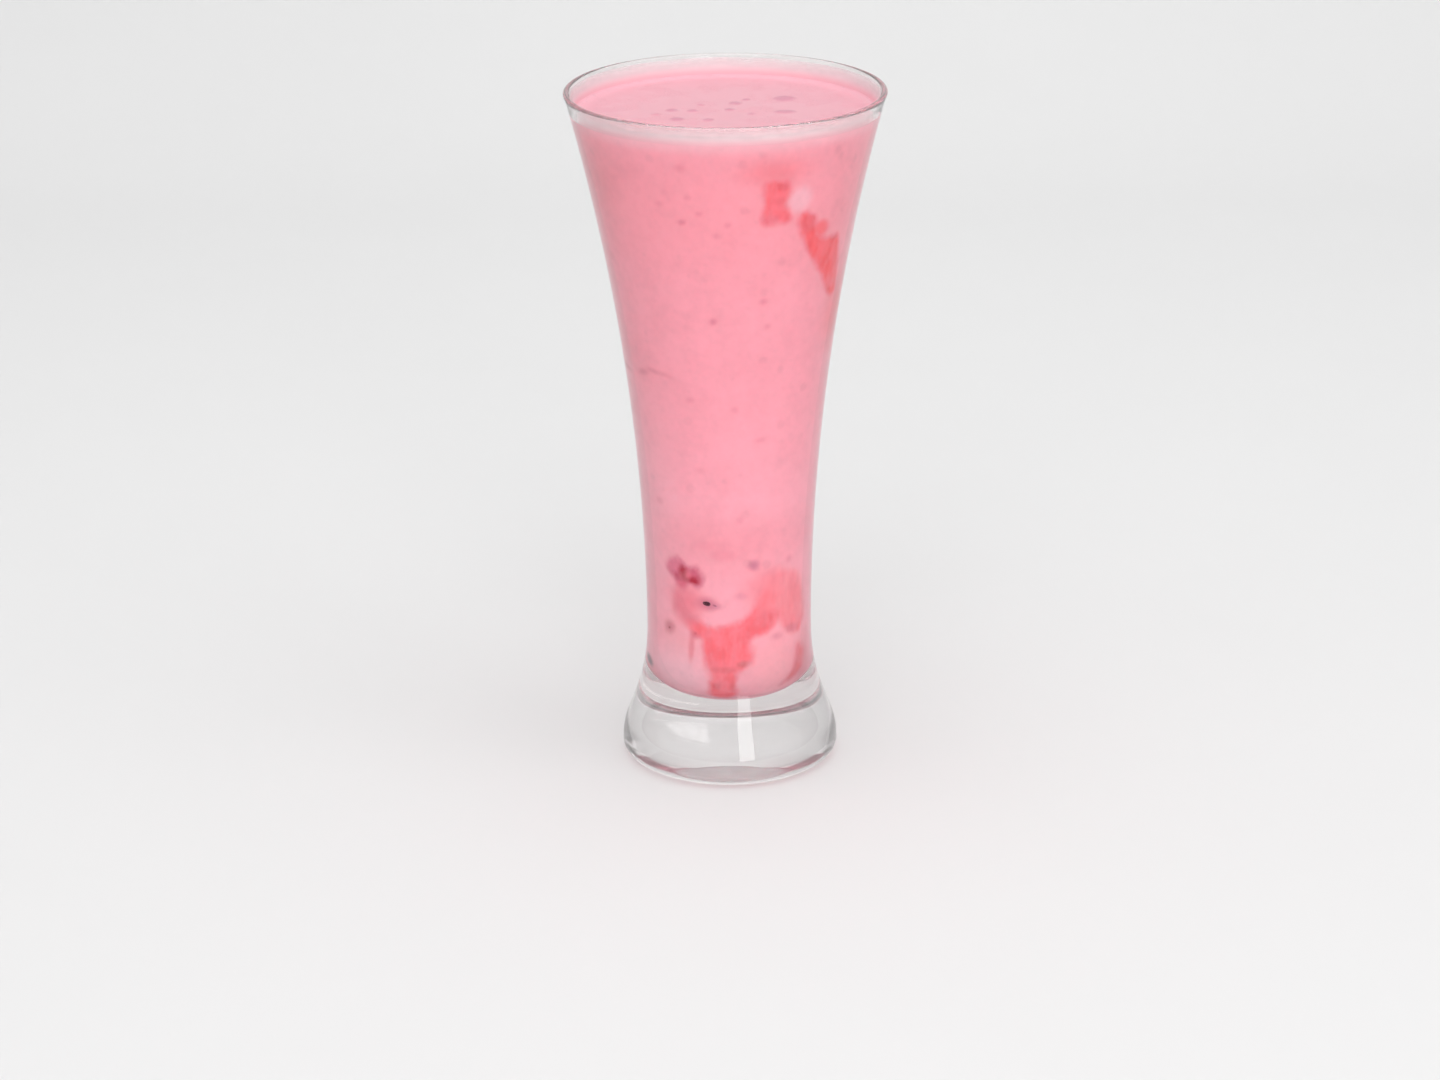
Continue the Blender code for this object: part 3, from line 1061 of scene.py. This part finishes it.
@dataclass(frozen=True)
class Fleck:
    """A seed or crumb of fruit skin: its place, half sizes in millimetres, turn in degrees and colour."""

    angle: float
    path: float
    half_width: float
    half_height: float
    turn: float
    colour: Colour


@dataclass
class FleckScatter:
    """Seeds and crumbs of skin, pressed against the glass."""

    flecks: Sequence[Fleck]
    wall: Wall
    half_thickness: float = 0.22
    proud_in_wall: float = 0.17

    def build(self) -> bpy.types.Object:
        """Make each fleck as a flattened, uneven bead on the wall."""
        bm = bmesh.new()
        tones = []
        for index, fleck in enumerate(self.flecks):
            made = bmesh.ops.create_icosphere(bm, subdivisions=3, radius=1.0)["verts"]
            across = self.wall.radius_at(fleck.path * MM) / MM
            turn = Matrix.Rotation(math.radians(fleck.turn), 2)
            for vert in made:
                lump = 1 + 0.22 * noise.noise(vert.co * 1.3 + Vector((index * 5.1, 0.0, 0.0)))
                flat = turn @ Vector((vert.co.x * fleck.half_width, vert.co.y * fleck.half_height)) * lump
                inset = self.half_thickness - self.proud_in_wall + vert.co.z * self.half_thickness
                angle = math.radians(fleck.angle) + flat.x / across
                vert.co = self.wall.point(angle, (fleck.path + flat.y) * MM, inset * MM)
            tones += [linear(fleck.colour)] * len(made)
        bmesh.ops.recalc_face_normals(bm, faces=bm.faces)
        piece = add_piece("seeds_and_crumbs", bm, [SeedSkin("seed_skin").material()])
        Palette.write(piece.data, Layer.FRUIT, np.array(tones))
        hand_over(piece, Slot.BERRY)
        return piece


@dataclass(frozen=True)
class SeedSkin(Finish):
    """Dark seed or skin, streaked along its length."""

    def shade(self, graph: Graph) -> bpy.types.NodeSocket:
        """Each fleck's own tone with a fine streak."""
        streak = graph.cloud(0.5, detail=3.0, seed=9.0)
        shader = graph.node("ShaderNodeBsdfPrincipled", {}, {
            "Base Color": graph.dim(graph.tone(Layer.FRUIT), 0.85 + streak * 0.3),
            "Roughness": 0.6,
            "Specular IOR Level": 0.0,
        })
        return shader.outputs[0]


# Studio


@dataclass(frozen=True)
class Softbox:
    """A soft lamp: its name, place, width and height, power, spread in degrees and what it points at."""

    name: str
    place: tuple[float, float, float]
    size: tuple[float, float]
    power: float
    spread: float = 180.0
    target: tuple[float, float, float] = (0.0, 0.0, 0.09)

    def build(self) -> bpy.types.Object:
        """Hang the lamp."""
        data = bpy.data.lights.new(self.name, "AREA")
        data.shape = "RECTANGLE"
        data.size, data.size_y = self.size
        data.energy = self.power
        data.spread = math.radians(self.spread)
        lamp = bpy.data.objects.new(self.name, data)
        lamp.location = self.place
        aim = Vector(self.target) - Vector(self.place)
        lamp.rotation_euler = aim.to_track_quat("-Z", "Y").to_euler()
        bpy.context.scene.collection.objects.link(lamp)
        return lamp


@dataclass(frozen=True)
class PhotoCamera:
    """The camera at the photograph's viewing angle."""

    distance: float = 0.91826
    height: float = 0.39994
    yaw: float = -0.14
    pitch: float = 20.376
    roll: float = -0.4748
    lens_mm: float = 93.12
    sensor_mm: float = 36.0

    def build(self) -> bpy.types.Object:
        """Set up the camera and make it the scene's own."""
        yaw, pitch, roll = (math.radians(angle) for angle in (self.yaw, self.pitch, self.roll))
        ahead = Vector((math.sin(yaw) * math.cos(pitch), math.cos(yaw) * math.cos(pitch), -math.sin(pitch)))
        level_right = Vector((math.cos(yaw), -math.sin(yaw), 0.0))
        level_up = level_right.cross(ahead)
        right = math.cos(roll) * level_right + math.sin(roll) * level_up
        up = math.cos(roll) * level_up - math.sin(roll) * level_right
        data = bpy.data.cameras.new("photo_camera")
        data.lens = self.lens_mm
        data.sensor_width = self.sensor_mm
        data.clip_start = 0.01
        camera = bpy.data.objects.new("photo_camera", data)
        turned = Matrix((right, up, -ahead)).transposed().to_4x4()
        camera.matrix_world = Matrix.Translation((0.0, -self.distance, self.height)) @ turned
        bpy.context.scene.collection.objects.link(camera)
        bpy.context.scene.camera = camera
        return camera


@dataclass
class Studio:
    """A pale floor that curves up into a pale wall, soft lamps and dim surroundings."""

    half_width: float = 1.3
    front: float = -1.4
    bend_start: float = 0.55
    bend_radius: float = 0.25
    wall_top: float = 1.2
    floor_drop: float = 0.0001
    lamps: Sequence[Softbox] = field(default_factory=lambda: (
        Softbox("front_softbox", (-0.045, -0.869, 1.056), (0.90, 0.90), 4.9),
        Softbox("right_softbox", (0.753, -0.435, 1.056), (0.80, 0.80), 2.0),
        Softbox("left_softbox", (-0.861, -0.581, 0.872), (0.70, 0.70), 0.6),
        Softbox("low_softbox", (0.36, -1.14, 0.225), (0.34, 0.37), 1.75),
        Softbox("backdrop_softbox", (0.0, 0.1, 1.3), (0.80, 0.80), 1.3, 110, (0.0, 0.75, 0.15)),
    ))

    def sweep(self) -> bpy.types.Object:
        """Extrude the sweep's outline sideways into one sheet."""
        bm = bmesh.new()
        outline = [(self.front, 0.0), (self.bend_start, 0.0)]
        centre = (self.bend_start, self.bend_radius)
        outline += arc(centre, self.bend_radius, -90, 0, 16)[1:]
        outline.append((self.bend_start + self.bend_radius, self.wall_top))
        verts = [bm.verts.new((-self.half_width, y, z - self.floor_drop)) for y, z in outline]
        edges = [bm.edges.new(pair) for pair in zip(verts, verts[1:])]
        made = bmesh.ops.extrude_edge_only(bm, edges=edges)["geom"]
        moved = [part for part in made if isinstance(part, bmesh.types.BMVert)]
        bmesh.ops.translate(bm, vec=(2 * self.half_width, 0, 0), verts=moved)
        bmesh.ops.recalc_face_normals(bm, faces=bm.faces)
        piece = add_piece("pale_sweep", bm, [PlainPaper("pale_paper").material()])
        return piece

    def surroundings(self) -> None:
        """Fill the world with a dim room that is lighter overhead."""
        world = bpy.data.worlds.new("soft_room")
        world.use_nodes = True
        bpy.context.scene.world = world
        graph = Graph(world.node_tree)
        direction = graph.node("ShaderNodeTexCoord", {}, {}).outputs["Generated"]
        parts = graph.node("ShaderNodeSeparateXYZ", {}, {"Vector": direction})
        height = Value(graph, parts.outputs["Z"])
        colour = graph.mix(height.ease(-0.1, 0.8), (0.20, 0.20, 0.20), (0.92, 0.92, 0.92))
        background = graph.node("ShaderNodeBackground", {}, {"Color": colour, "Strength": 1.0})
        graph.node("ShaderNodeOutputWorld", {}, {"Surface": background.outputs[0]})

    def build(self) -> None:
        """Set the sweep, the lamps, the surroundings and the camera."""
        self.sweep()
        for lamp in self.lamps:
            lamp.build()
        self.surroundings()
        PhotoCamera().build()
        settings = bpy.context.scene.view_settings
        settings.view_transform = "Standard"
        settings.look = "None"
        LOG.info("studio: %d lamps", len(self.lamps))


# What the photograph shows, by its place on the wall

LEVEL = 0.1741

MILK: Colour = (254, 174, 189)
CORAL: Colour = (253, 118, 130)
DEEP_CORAL: Colour = (252, 100, 108)
DUSKY: Colour = (234, 116, 128)

BASE_OUTLINE = (
    (-42, 47), (-45, 41), (-39, 38), (-29, 36.5), (-20.5, 33), (-18.5, 27), (-15, 23.5), (-17, 16.5),
    (-6, 14.8), (6, 17), (5, 24), (16, 27), (18, 31), (16, 34), (29, 35.5), (40, 37.5), (47, 34.5),
    (62, 33), (69, 38), (69, 45), (62, 50.5), (45, 53.2), (31, 52.5), (24, 48), (17.5, 43), (5.5, 39.2),
    (-13, 37.6), (-25, 40.2), (-33, 42), (-38, 46),
)
SIDE_OUTLINE = ((60, 30), (69, 27.5), (70, 22.5), (62, 19.5), (52, 18), (43, 17.4), (49, 21), (56, 24.5))
BLOT_OUTLINE = (
    (15.2, 161.5), (20, 162.2), (25.5, 161.6), (26.8, 159), (25.2, 155.5), (28.2, 151), (22, 150.2),
    (15.4, 150.8), (16, 156),
)
STREAK_OUTLINE = (
    (34, 152.5), (40.5, 151), (43, 146.5), (50, 143.6), (58.5, 143.6), (63.5, 139), (66.5, 132), (67.5, 127),
    (60, 127), (53, 132), (44, 138.5), (36, 144.5), (32.4, 149.5),
)
BERRY_OUTLINE = (
    (-48, 55), (-52, 52.5), (-45, 50.2), (-40, 47.8), (-35, 47.4), (-30.5, 49), (-24, 48.6), (-19.5, 51),
    (-22.5, 54), (-31, 54.3), (-40, 56),
)

BASE_MARKS = (
    Spot(54, 44.5, 8.5, 9.0, (252, 147, 158), 0.95, softness=0.5),
    Spot(40, 50, 5.5, 3.4, (252, 150, 162), 0.8),
    Spot(47, 47, 0.9, 6.0, (253, 158, 170), 0.6, softness=0.9),
    Spot(64, 43, 1.6, 7.0, (244, 134, 146), 0.5, softness=0.9),
    Spot(28, 39.2, 3.6, 2.3, (240, 110, 122), 0.8, turn=25),
    Spot(12.9, 35.0, 2.8, 2.4, (240, 106, 118), 0.7),
    Spot(-9.5, 29.4, 2.8, 3.4, (243, 106, 118), 0.7),
    Spot(-5, 25.8, 3.4, 0.8, (226, 94, 106), 0.7),
    Spot(-10.7, 20.5, 1.0, 1.2, (226, 94, 108), 0.7),
    Spot(3.2, 20.1, 0.9, 1.6, (232, 102, 114), 0.6),
    Spot(11.5, 27.3, 1.8, 1.0, (208, 106, 112), 0.8),
    Spot(-35, 42.5, 5.0, 4.6, (232, 134, 150), 0.85),
    Spot(-43, 38.0, 3.0, 3.0, (240, 150, 164), 0.8),
    Spot(52, 34.6, 2.8, 1.5, (224, 124, 140), 0.7),
)
BASE_VEILS = (
    Spot(54, 47, 10.5, 8.5, MILK, 0.85, softness=0.35),
    Spot(-38, 43, 7.0, 6.0, MILK, 0.4, softness=0.35),
)
SIDE_VEILS = (Spot(58, 24, 12.0, 12.0, MILK, 0.4),)
STREAK_MARKS = (
    Spot(38.5, 149.5, 2.4, 2.8, (232, 94, 106), 0.7),
    Spot(56.8, 143.6, 1.8, 1.2, (224, 96, 106), 0.6),
    Spot(62, 131, 4.0, 3.0, (250, 122, 132), 0.6),
)
BLOT_MARKS = (
    Spot(22.9, 160.5, 1.5, 1.2, (230, 92, 106), 0.8),
    Spot(22.0, 156.6, 2.2, 1.0, (238, 98, 112), 0.6),
    Spot(18.0, 151.8, 3.0, 1.2, (240, 126, 142), 0.6),
)
BERRY_MARKS = (
    Spot(-45.6, 54.0, 3.0, 2.2, (230, 132, 156), 0.9),
    Spot(-34.6, 51.8, 1.3, 2.2, (176, 8, 46), 0.95, turn=14),
    Spot(-37.6, 50.4, 2.0, 0.6, (190, 60, 92), 0.7, turn=-30),
    Spot(-26.4, 50.4, 1.6, 1.1, (180, 10, 50), 0.95, turn=-12),
    Spot(-30.5, 51.6, 0.9, 0.8, (228, 104, 130), 0.8),
    Spot(-20.9, 51.8, 1.2, 1.6, (206, 100, 124), 0.8),
    Spot(-36.5, 48.4, 1.8, 1.2, (222, 96, 124), 0.8),
)
MILK_MARKS_AND_PAINTED_LIGHT = (
    Belt(25.0, 80.0, (254, 181, 196), 0.7, 20.0),
    Belt(140.0, 171.0, (254, 168, 182), 0.7, 14.0),
    Belt(170.6, 180.0, (252, 190, 201), 0.9, 1.5),
    Spot(20, 164.8, 7.5, 3.0, (252, 148, 160), 0.8, softness=0.9),
    Spot(31.8, 156.2, 3.2, 3.4, (254, 196, 208), 1.0, turn=-20),
    Spot(-3.9, 58.1, 3.0, 1.6, (246, 150, 170), 0.5),
    Spot(-12.0, 60.5, 4.0, 1.2, (246, 158, 176), 0.4),
    Spot(38.0, 25.0, 7.0, 9.0, (255, 178, 188), 0.8, softness=0.9),
    Spot(-40.0, 31.0, 6.0, 5.0, (250, 182, 192), 0.7, softness=0.9),
    Spot(-46.0, 23.0, 9.0, 6.0, (255, 200, 212), 0.8, softness=0.8),
    Spot(-38.0, 46.0, 5.0, 3.0, (240, 150, 168), 0.6, softness=0.9),
    Spot(-16.4, 44.2, 2.4, 1.7, (206, 112, 136), 0.75, turn=-8, softness=0.7),
    Spot(-33.0, 43.5, 4.0, 4.6, (244, 132, 148), 0.75, softness=0.8),
    Spot(25.0, 48.6, 4.6, 4.6, (248, 138, 150), 0.6, softness=0.9),
    Spot(76.0, 122.0, 6.0, 9.0, (244, 134, 144), 0.8, softness=0.9),
    # Painted refraction: a grey spot at the left edge of the neck.
    Spot(-83.0, 21.8, 2.2, 1.6, (126, 122, 126), 0.8, softness=0.6),
    Spot(-68.0, 68.0, 9.0, 26.0, (255, 194, 206), 0.5, softness=0.9),
    Spot(4.0, 61.0, 17.0, 7.0, (244, 160, 174), 0.6, softness=0.9),
    # Painted shade: a darker rose patch high on the left side of the drink.
    Spot(-62.0, 161.0, 9.0, 9.0, (240, 156, 168), 0.45, softness=0.9),
    Spot(46.2, 147.0, 2.4, 2.0, (252, 112, 120), 0.85, turn=-30, softness=0.5),
    Spot(70.0, 24.0, 2.6, 8.0, (222, 132, 144), 0.6, softness=0.9),
    Spot(-29.6, 31.5, 0.8, 4.2, (236, 142, 154), 0.8, turn=-4),
    Spot(-50.0, 35.6, 1.6, 1.6, (206, 122, 132), 0.75, softness=0.8),
    Spot(-25.9, 35.5, 1.3, 1.3, (220, 104, 122), 0.8, softness=0.8),
    Spot(18.5, 54.9, 1.3, 1.3, (206, 126, 150), 0.85, softness=0.8),
    Spot(8.7, 46.5, 1.5, 1.0, (230, 150, 170), 0.6, softness=0.8),
    Spot(38.5, 33.8, 1.8, 1.0, (228, 142, 160), 0.5, softness=0.8),
    Spot(-10.0, 43.6, 1.6, 0.8, (214, 136, 156), 0.6, softness=0.8),
    Spot(48.1, 54.7, 1.0, 1.0, (226, 138, 156), 0.5, softness=0.8),
    Spot(-19.0, 151.1, 0.8, 0.7, (204, 106, 126), 0.56, softness=0.9),
    Spot(-11.2, 153.7, 0.6, 0.6, (218, 124, 142), 0.49, softness=0.9),
    Spot(0.6, 150.8, 0.8, 0.7, (226, 134, 152), 0.42, softness=0.9),
    Spot(-15.8, 157.9, 0.8, 0.6, (222, 132, 150), 0.42, softness=0.9),
    Spot(-28.6, 155.8, 1.0, 0.6, (222, 132, 150), 0.35, softness=0.9),
    Spot(-4.6, 147.7, 0.8, 0.6, (228, 138, 156), 0.42, softness=0.9),
    Spot(-17.8, 166.2, 1.2, 0.9, (226, 132, 148), 0.42, softness=0.9),
    Spot(-7.1, 123.7, 0.8, 0.8, (212, 116, 138), 0.56, softness=0.9),
    Spot(18.3, 128.9, 0.9, 0.8, (220, 126, 146), 0.49, softness=0.9),
    Spot(21.2, 121.8, 0.8, 0.7, (226, 134, 152), 0.42, softness=0.9),
    Spot(-22.5, 101.3, 1.0, 0.7, (226, 136, 154), 0.42, softness=0.9),
    Spot(4.4, 99.0, 1.0, 0.8, (232, 142, 160), 0.42, softness=0.9),
    Spot(-18.5, 81.8, 1.0, 0.7, (232, 144, 162), 0.35, softness=0.9),
    Spot(20.5, 90.0, 1.2, 0.7, (228, 138, 156), 0.42, softness=0.9),
    Spot(-53.4, 70.8, 1.2, 0.9, (222, 136, 154), 0.35, softness=0.9),
    Spot(8.1, 67.9, 1.0, 0.8, (232, 144, 162), 0.35, softness=0.9),
    Spot(-78.0, 105.3, 3.2, 0.7, (208, 124, 140), 0.55, turn=-4, softness=0.9),
    Spot(-56.0, 106.4, 2.0, 0.8, (210, 126, 142), 0.5, turn=12, softness=0.9),
    Spot(-46.0, 107.6, 2.2, 0.6, (216, 132, 148), 0.5, turn=-10, softness=0.9),
    Spot(-37.0, 107.3, 2.0, 0.6, (228, 144, 158), 0.5, turn=-14, softness=0.9),
    # Painted shade: a dusky line along the drink's lower edge, and mauve-grey belts round the sides and back of the
    # lowest bowl.
    Belt(14.0, 15.4, (206, 150, 160), 0.5, 1.2),
    Belt(13.0, 25.0, (208, 164, 172), 0.9, 3.0, behind=125.0),
    Belt(12.0, 17.5, (226, 186, 194), 0.8, 2.0, behind=78.0),
    # Painted light: the drink's underside on the bowl's floor is painted near white, as if lit through the foot.
    Belt(-5.0, 12.6, (255, 244, 246), 1.0, 1.6),
)

PATCHES = (
    Patch("puree_base", Slot.PUREE, BASE_OUTLINE, 0.7, 2.2, CORAL, BASE_MARKS, BASE_VEILS),
    Patch("puree_side", Slot.PUREE, SIDE_OUTLINE, 0.7, 1.8, DUSKY, (), SIDE_VEILS, 1.8),
    Patch("puree_blot", Slot.PUREE, BLOT_OUTLINE, 0.7, 2.1, CORAL, BLOT_MARKS),
    Patch("puree_streak", Slot.PUREE, STREAK_OUTLINE, 0.7, 2.0, DEEP_CORAL, STREAK_MARKS),
    Patch("berry_piece", Slot.BERRY, BERRY_OUTLINE, 1.6, 4.2, (212, 100, 128), BERRY_MARKS),
)

BUBBLES = (
    Bubble(-13.5, 1.7, 1.6, 1.6), Bubble(-8.4, 1.1, 1.4, 1.4), Bubble(-12.2, -7.5, 1.8, 1.9),
    Bubble(-4.4, -8.5, 1.4, 1.4), Bubble(1.1, 2.0, 1.3, 1.3), Bubble(2.5, 8.9, 1.6, 1.7),
    Bubble(5.2, 12.5, 1.0, 1.0), Bubble(15.1, 13.3, 2.9, 3.0), Bubble(15.0, -0.5, 2.8, 1.8),
    Bubble(-6.3, 7.3, 1.0, 1.0, 0.6), Bubble(6.6, -2.6, 1.1, 1.1, 0.6), Bubble(-17.5, -2.4, 1.2, 1.2, 0.5),
)

FLECKS = (
    Fleck(-16.8, 44.2, 1.6, 0.95, -8, (66, 14, 38)),
    Fleck(-10.6, 43.8, 0.9, 0.36, -22, (186, 108, 130)),
    Fleck(-50.0, 35.2, 0.6, 0.45, 10, (178, 92, 102)),
    Fleck(-25.9, 35.5, 0.45, 0.4, 60, (206, 84, 102)),
    Fleck(40.4, 39.6, 0.35, 0.4, 0, (196, 82, 98)),
)


def main() -> None:
    """Load the frame, build every piece around it and report each one."""
    logging.basicConfig(level=logging.INFO, format="%(message)s")
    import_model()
    low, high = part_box("glass")
    hollow = Hollow(height=high.z - low.z, rim_radius=high.x)
    wall = Wall(hollow)
    palette = Palette(wall, PATCHES, MILK, MILK_MARKS_AND_PAINTED_LIGHT)
    GlassVessel(hollow).build()
    MilkDrink(hollow, wall, palette, LEVEL, BUBBLES).build()
    for patch in PATCHES:
        finish = BerryPaint("berry_flesh") if patch.slot is Slot.BERRY else MilkPaint(f"{patch.name}_puree")
        FruitPatch(patch, wall, palette, finish).build()
    FleckScatter(FLECKS, wall).build()
    MilkFilm(hollow, LEVEL).build()
    Studio().build()


if __name__ == "__main__":
    main()
